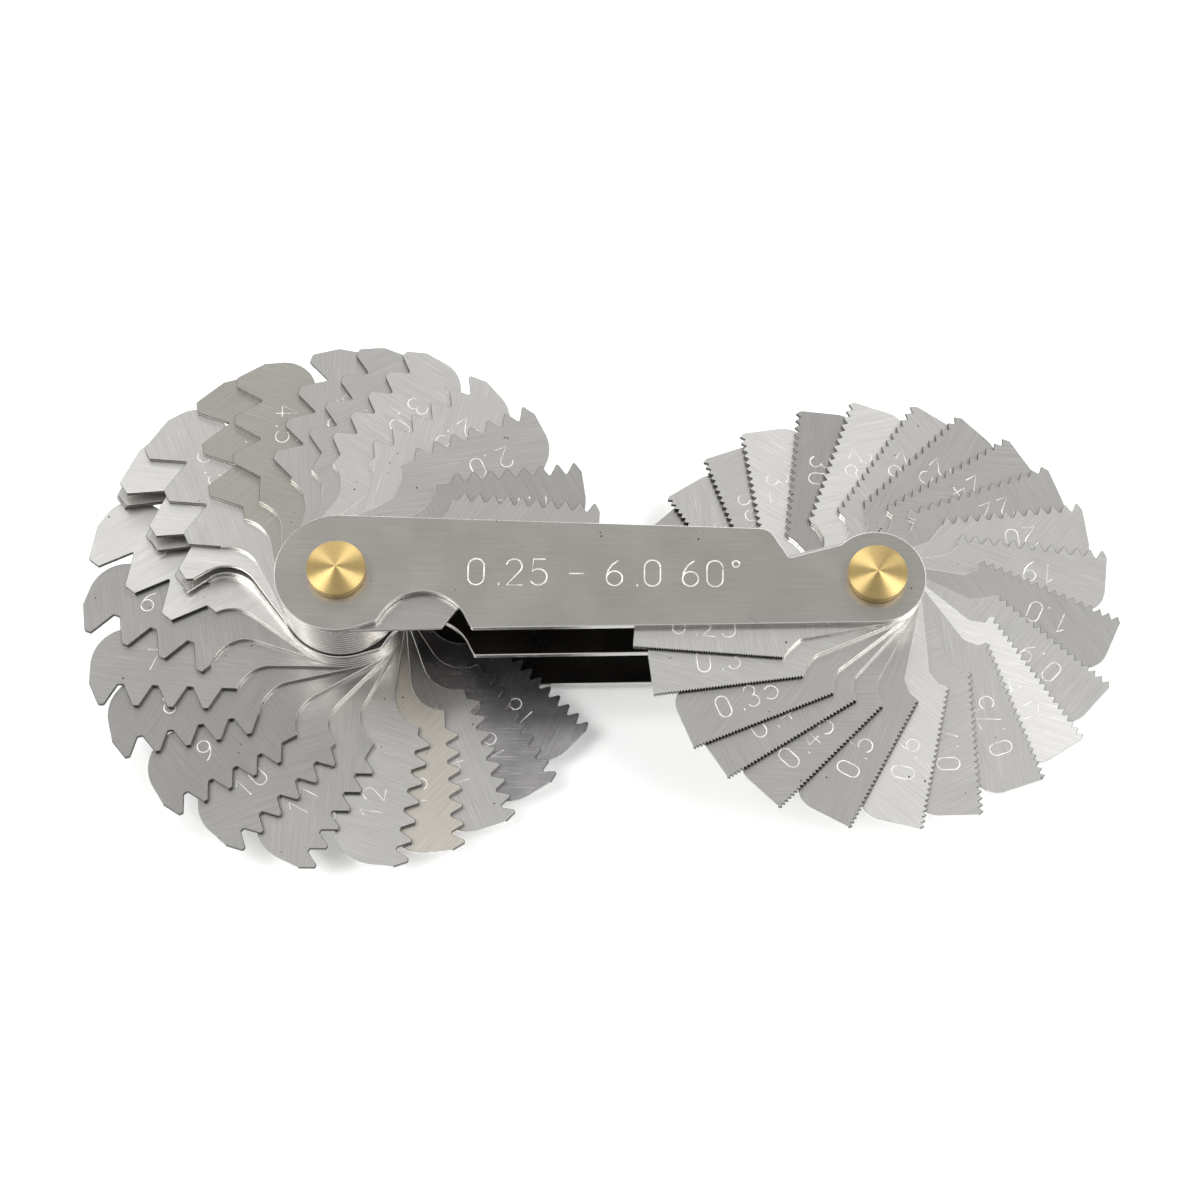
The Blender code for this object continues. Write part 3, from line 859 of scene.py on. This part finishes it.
@dataclass(frozen=True)
class Case:
    """The two cheeks and the middle plate, all of one outline."""

    spacing: float = 55.0 * MM
    left_radius: float = 6.4 * MM
    right_radius: float = 5.0 * MM
    left_stop: float = 292.0  # degrees at which the left round end gives way to the thumb notch
    right_stop: float = 135.0  # the same at the right end, for the nail notch
    thumb_reach: float = 8.9 * MM  # centre of the thumb notch, from the left rivet
    thumb_drop: float = 0.45 * MM  # of that centre below the left round end
    thumb_radius: float = 4.8 * MM
    thumb_arc: Point = (150.0, 20.0)  # first and last angle
    horn: Corner = (1.062, -51.9, 0.8 * MM)  # reach in end radii, direction in degrees, corner radius
    lip: Point = (1.04, 0.3 * MM)  # beyond the notch's centre in notch radii, and corner radius
    nail_bottom: Corner = (8.9 * MM, 2.0 * MM, 0.3 * MM)  # from the right rivet, height, corner radius
    nail_lip: Point = (10.9 * MM, 1.8 * MM)  # from the right rivet, and corner radius

    def outline(self) -> list[Point]:
        """Two round ends, straight sides and a nail notch at each end."""
        taper = math.degrees(math.asin((self.left_radius - self.right_radius) / self.spacing))

        def edge(x: float) -> float:
            """Half width of the plate at x."""
            return self.left_radius / math.cos(math.radians(taper)) - math.tan(math.radians(taper)) * x

        thumb = (self.thumb_reach, -(self.left_radius + self.thumb_drop))
        left_end = arc((0, 0), self.left_radius, 90 - taper, self.left_stop)
        thumb_arc = arc(thumb, self.thumb_radius, *self.thumb_arc)
        horn_reach, horn_direction, horn_radius = self.horn
        into_thumb = rounded([
            (*left_end[-1], 0.0),
            (*polar(horn_reach * self.left_radius, horn_direction), horn_radius),
            (*thumb_arc[0], 0.0),
        ])[1:-1]
        lip = thumb[0] + self.lip[0] * self.thumb_radius
        middle = self.spacing / 2
        out_of_thumb = rounded([
            (*thumb_arc[-1], 0.0),
            (lip, -edge(lip), self.lip[1]),
            (middle, -edge(middle), 0.0),
        ])
        right_end = arc((self.spacing, 0), self.right_radius, taper - 90, self.right_stop)
        bottom_reach, bottom_height, bottom_radius = self.nail_bottom
        nail_lip = self.spacing - self.nail_lip[0]
        nail_notch = rounded([
            (*right_end[-1], 0.0),
            (self.spacing - bottom_reach, bottom_height, bottom_radius),
            (nail_lip, edge(nail_lip), self.nail_lip[1]),
            (middle, edge(middle), 0.0),
        ])
        return left_end + into_thumb + thumb_arc + out_of_thumb[1:-1] + right_end + nail_notch[1:-1]

    def build(self, shop: Workshop) -> list[bpy.types.Object]:
        """Makes the three plates, with a range of sizes stamped on each cheek's outer face."""
        plates = []
        for number, (name, text) in enumerate((
            ("front_cheek", "0.25 - 6.0 60°"), ("middle_plate", ""), ("rear_cheek", "4 - 62 55°"),
        )):
            low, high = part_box(name)
            thickness = high[2] - low[2]
            holes = [((0.0, 0.0), BORE_RADIUS), ((self.spacing, 0.0), BORE_RADIUS)]
            blank = sheet(self.outline(), holes, thickness, PLATE_EDGE)
            # The plates' edges get a painted highlight, and their flats inside the case painted shade.
            mark_plate(blank, name != "front_cheek", name != "rear_cheek")
            plate = new_piece(f"{name}_steel", blank, shop.steel(Tone.CHEEK), shop.steel(Tone.PAINTED_EDGE_HIGHLIGHT),
                              shop.steel(Tone.PAINTED_INSIDE_SHADE))
            if text:
                cutter = numerals(text, CHEEK_NUMERAL, CHEEK_TEXT, False, CHEEK_GROOVE, thickness / 2)
                if name == "rear_cheek":
                    # The rear cheek is stamped on its underside, to be read from there.
                    cutter.data.transform(Matrix.Rotation(math.pi, 4, "X"))
                engrave(plate, cutter, shop.groove)
            place = Matrix.Translation((0, 0, (low[2] + high[2]) / 2))
            finish_mesh(plate, place, shift=PLATE_SHIFT * number)
            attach(plate, "case")
            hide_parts(name)
            report(plate, name)
            plates.append(plate)
        return plates


@dataclass(frozen=True)
class Rivet:
    """A turned brass rivet: shank and coned head in one, and the peened cap at its rear."""

    side: str
    shank: float = 2.0 * MM
    head: float = 3.0 * MM
    facets: int = 72
    cone: float = 0.45 * MM  # height of the cone on the front head
    head_height: float = 1.5 * MM  # cone and rim together
    cone_rings: tuple[float, ...] = (0.02, 0.25, 0.5, 0.75, 0.985)  # shares of the head radius
    rim_edge: float = 0.045 * MM
    seat_edge: float = 0.06 * MM
    cap_floor: float = 0.4 * MM  # thickness of the cap under its socket
    socket_play: float = 0.04 * MM
    cap_edge: float = 0.05 * MM
    cap_round: float = 0.24 * MM  # rounding of the face that the tool lies on
    cap_round_middle: Point = (0.07 * MM, 0.08 * MM)  # in from the side and up from the face

    def turned(self, name: str, profile: Sequence[Point], node: str, shop: Workshop) -> bpy.types.Object:
        """A piece turned about the rivet's axis.

        Args:
            name: of the piece.
            profile: radius and height of each corner, from the top of the axis down the outside.
            node: CAD node that it stands for.
            shop: the finished materials.

        Returns:
            The finished piece.
        """
        low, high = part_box(node)
        pivot_x = (low[0] + high[0]) / 2
        mesh = bmesh.new()
        chain = [mesh.verts.new((radius, 0.0, height)) for radius, height in profile]
        edges = [mesh.edges.new(pair) for pair in zip(chain, chain[1:])]
        bmesh.ops.spin(mesh, geom=chain + edges, axis=(0, 0, 1), cent=(0, 0, 0), angle=math.tau,
                       steps=self.facets, use_merge=True)
        bmesh.ops.remove_doubles(mesh, verts=mesh.verts, dist=SAME_POINT)
        bmesh.ops.recalc_face_normals(mesh, faces=mesh.faces[:])
        obj = new_piece(name, mesh, shop.brass)
        finish_mesh(obj, Matrix.Translation((pivot_x, 0, 0)))
        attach(obj, "case")
        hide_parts(node)
        report(obj, node)
        return obj

    def build(self, shop: Workshop) -> list[bpy.types.Object]:
        """Makes the pin and the rear cap."""
        pin_node, cap_node = f"{self.side}_rivet_pin", f"{self.side}_rear_rivet_cap"
        bottom, top = (corner[2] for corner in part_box(pin_node))
        rim, seat = top - self.cone, top - self.head_height
        pin = [
            (0.0, top),
            *((share * self.head, top - self.cone * share) for share in self.cone_rings),
            (self.head, rim - self.rim_edge),
            (self.head, seat + self.seat_edge),
            (self.head - self.seat_edge, seat),
            (self.shank, seat),
            (self.shank, bottom),
            (0.0, bottom),
        ]
        under, over = (corner[2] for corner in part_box(cap_node))
        socket = under + self.cap_floor
        bore = self.shank + self.socket_play
        cap = [
            (0.0, socket),
            (bore, socket),
            (bore, over),
            (self.head - self.cap_edge, over),
            (self.head, over - self.cap_edge),
            (self.head, under + self.cap_round),
            (self.head - self.cap_round_middle[0], under + self.cap_round_middle[1]),
            (self.head - self.cap_round, under),
            (0.0, under),
        ]
        return [self.turned(f"{pin_node}_brass", pin, pin_node, shop),
                self.turned(f"{cap_node}_brass", cap, cap_node, shop)]


DULL, DUSKY, OLIVE, BRIGHT, PALE = Tone.DULL, Tone.DUSKY, Tone.OLIVE, Tone.BRIGHT, Tone.PALE
LEFT_METRIC = (
    Leaf(1.25, 12, -20, DULL), Leaf(1.5, 10, -5), Leaf(1.75, 8, 6, DULL), Leaf(2.0, 7, 24),
    Leaf(2.5, 6, 38, BRIGHT), Leaf(3.0, 5, 54, BRIGHT), Leaf(3.5, 4, 64), Leaf(4.0, 4, 74),
    Leaf(4.5, 3, 91, OLIVE), Leaf(5.0, 3, 101, OLIVE), Leaf(5.5, 3, 116, BRIGHT), Leaf(6.0, 3, 125, PALE),
)
LEFT_WHITWORTH = (
    Leaf(4, 3, 126, BRIGHT), Leaf(4.5, 3, 127, BRIGHT), Leaf(5, 3, 143, PALE), Leaf(6, 4, 160, DULL),
    Leaf(7, 4, 178, DULL), Leaf(8, 5, 192, DUSKY), Leaf(9, 5, 210, DUSKY), Leaf(10, 6, 226, DULL),
    Leaf(11, 6, 242), Leaf(12, 7, 262, BRIGHT), Leaf(13, 7, 275, Tone.BEIGE), Leaf(14, 8, 288, BRIGHT),
    Leaf(16, 9, 301, Tone.WORN), Leaf(18, 10, 315, Tone.WORN),
)
RIGHT_METRIC = (
    Leaf(0.25, 0, 176, BRIGHT), Leaf(0.3, 0, 188, BRIGHT), Leaf(0.35, 0, 203), Leaf(0.4, 0, 213),
    Leaf(0.45, 0, 226), Leaf(0.5, 0, 242), Leaf(0.6, 0, 258, PALE), Leaf(0.7, 0, 272, BRIGHT),
    Leaf(0.75, 0, 289, BRIGHT), Leaf(0.8, 0, 303, Tone.WHITISH), Leaf(0.9, 0, 318, BRIGHT), Leaf(1.0, 0, 335),
)
RIGHT_WHITWORTH = (
    Leaf(19, 0, 353, BRIGHT), Leaf(20, 0, 7, BRIGHT), Leaf(22, 0, 20), Leaf(24, 0, 32), Leaf(25, 0, 45),
    Leaf(26, 0, 56, BRIGHT), Leaf(28, 0, 71, PALE), Leaf(30, 0, 84, DULL), Leaf(32, 0, 99, PALE),
    Leaf(36, 0, 110, BRIGHT), Leaf(40, 0, 123, BRIGHT), Leaf(48, 0, 133), Leaf(60, 0, 143, DULL),
    Leaf(62, 0, 153, DULL),
)


@dataclass(frozen=True)
class Gauge:
    """The whole tool."""

    fans: tuple[Fan, ...] = (
        Fan(False, CoarsePattern(), "left_rivet_pin", LEFT_WHITWORTH),
        Fan(False, FinePattern(), "right_rivet_pin", RIGHT_WHITWORTH),
        Fan(True, CoarsePattern(), "left_rivet_pin", LEFT_METRIC),
        Fan(True, FinePattern(), "right_rivet_pin", RIGHT_METRIC),
    )

    def build(self, shop: Workshop) -> list[bpy.types.Object]:
        """Makes the case, the rivets and the four fans in that order."""
        pieces = Case().build(shop)
        for side in ("left", "right"):
            pieces += Rivet(side).build(shop)
        first = 1
        for fan in self.fans:
            pieces += fan.build(shop, first)
            first += len(fan.leaves)
        return pieces


# ---- The studio ----


def direction(azimuth: float, elevation: float) -> Vector:
    """Unit vector away from the object, azimuth from the front towards +X, in degrees."""
    turn, lift = math.radians(azimuth), math.radians(elevation)
    return Vector((math.sin(turn) * math.cos(lift), -math.cos(turn) * math.cos(lift), math.sin(lift)))


@dataclass(frozen=True)
class Softbox:
    """A rectangular light that points at the middle of the object."""

    name: str
    azimuth: float  # degrees round from the viewer, to their right
    elevation: float
    distance: float
    width: float
    height: float
    watts: float
    colour: str = "#FFFFFF"

    def build(self, target: Vector) -> None:
        """Hangs the light."""
        light = bpy.data.lights.new(self.name, "AREA")
        light.shape = "RECTANGLE"
        light.size = self.width
        light.size_y = self.height
        light.energy = self.watts
        light.color = linear(self.colour)[:3]
        holder = bpy.data.objects.new(self.name, light)
        away = direction(self.azimuth, self.elevation)
        holder.location = target + away * self.distance
        holder.rotation_euler = away.to_track_quat("Z", "Y").to_euler()
        bpy.context.scene.collection.objects.link(holder)


@dataclass(frozen=True)
class Studio:
    """White table, soft light from above, and the camera."""

    target: Vector = field(default_factory=lambda: Vector((26.8, 1.26, 8.0)) * MM)
    azimuth: float = 0.53
    elevation: float = 66.54
    distance: float = 298.6 * MM
    lens: float = 85.3
    room_light: float = 0.75
    dark_cone: Point = (0.80, 0.96)  # cosine from the camera's direction at which the dark starts and is full
    dark_share: float = 0.08  # how much of the room's light is left in it
    table_reach: float = 3.0
    paper_glow: float = 0.17  # the light that comes through the paper from below
    boxes: tuple[Softbox, ...] = (
        Softbox("left_softbox", -80.0, 52.0, 0.9, 0.5, 0.5, 5.0),
        Softbox("right_softbox", 80.0, 50.0, 0.9, 0.5, 0.5, 5.5),
        Softbox("rear_softbox", 190.0, 32.0, 1.0, 1.0, 0.35, 4.0),
    )

    def build(self) -> None:
        """Sets up the table, the light and the camera."""
        self.table()
        self.room()
        for box in self.boxes:
            box.build(self.target)
        self.camera()

    def table(self) -> None:
        """A wide, plain white table top at z = 0."""
        mesh = bmesh.new()
        bmesh.ops.create_grid(mesh, x_segments=2, y_segments=2, size=self.table_reach)
        paper = bpy.data.materials.new("white_paper")
        paper.use_nodes = True
        shader = paper.node_tree.nodes["Principled BSDF"]
        shader.inputs["Base Color"].default_value = linear("#F4F4F3")
        shader.inputs["Roughness"].default_value = 0.8
        shader.inputs["Specular IOR Level"].default_value = 0.2
        shader.inputs["Emission Color"].default_value = linear("#FFFFFF")
        shader.inputs["Emission Strength"].default_value = self.paper_glow
        new_piece("table_top", mesh, paper)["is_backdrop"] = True

    def room(self) -> None:
        """An even, pale room round the table, dark only where the person with the camera stands."""
        world = bpy.data.worlds.new("pale_room")
        world.use_nodes = True
        tree = world.node_tree
        background = tree.nodes["Background"]
        outward = add_node(tree, "ShaderNodeTexCoord").outputs["Generated"]
        facing = add_node(tree, "ShaderNodeVectorMath", {0: outward, 1: self.away()},
                          operation="DOT_PRODUCT").outputs["Value"]
        strength = ramp(tree, facing, *self.dark_cone, self.room_light, self.dark_share * self.room_light)
        tree.links.new(strength, background.inputs["Strength"])
        background.inputs["Color"].default_value = linear("#FAFBFC")
        bpy.context.scene.world = world

    def away(self) -> Vector:
        """Unit vector from the object to the camera."""
        return direction(self.azimuth, self.elevation)

    def camera(self) -> None:
        """Points the camera down at the tool from a little in front of it."""
        data = bpy.data.cameras.new("camera")
        data.lens = self.lens
        data.clip_start = 0.01
        camera = bpy.data.objects.new("camera", data)
        camera.location = self.target + self.away() * self.distance
        camera.rotation_euler = self.away().to_track_quat("Z", "Y").to_euler()
        bpy.context.scene.collection.objects.link(camera)
        bpy.context.scene.camera = camera
        bpy.context.scene.view_settings.view_transform = "Standard"


def corners() -> list[list[float]]:
    """The object's two box corners as plain lists."""
    return [[float(value) for value in corner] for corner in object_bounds()]


def main() -> None:
    """Builds the gauge and the studio, and logs how many pieces there are."""
    logging.basicConfig(level=logging.INFO, format="%(name)s: %(message)s")
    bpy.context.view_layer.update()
    pieces = Gauge().build(Workshop())
    log.info("%d pieces", len(pieces))
    Studio().build()


if __name__ == "__main__":
    main()
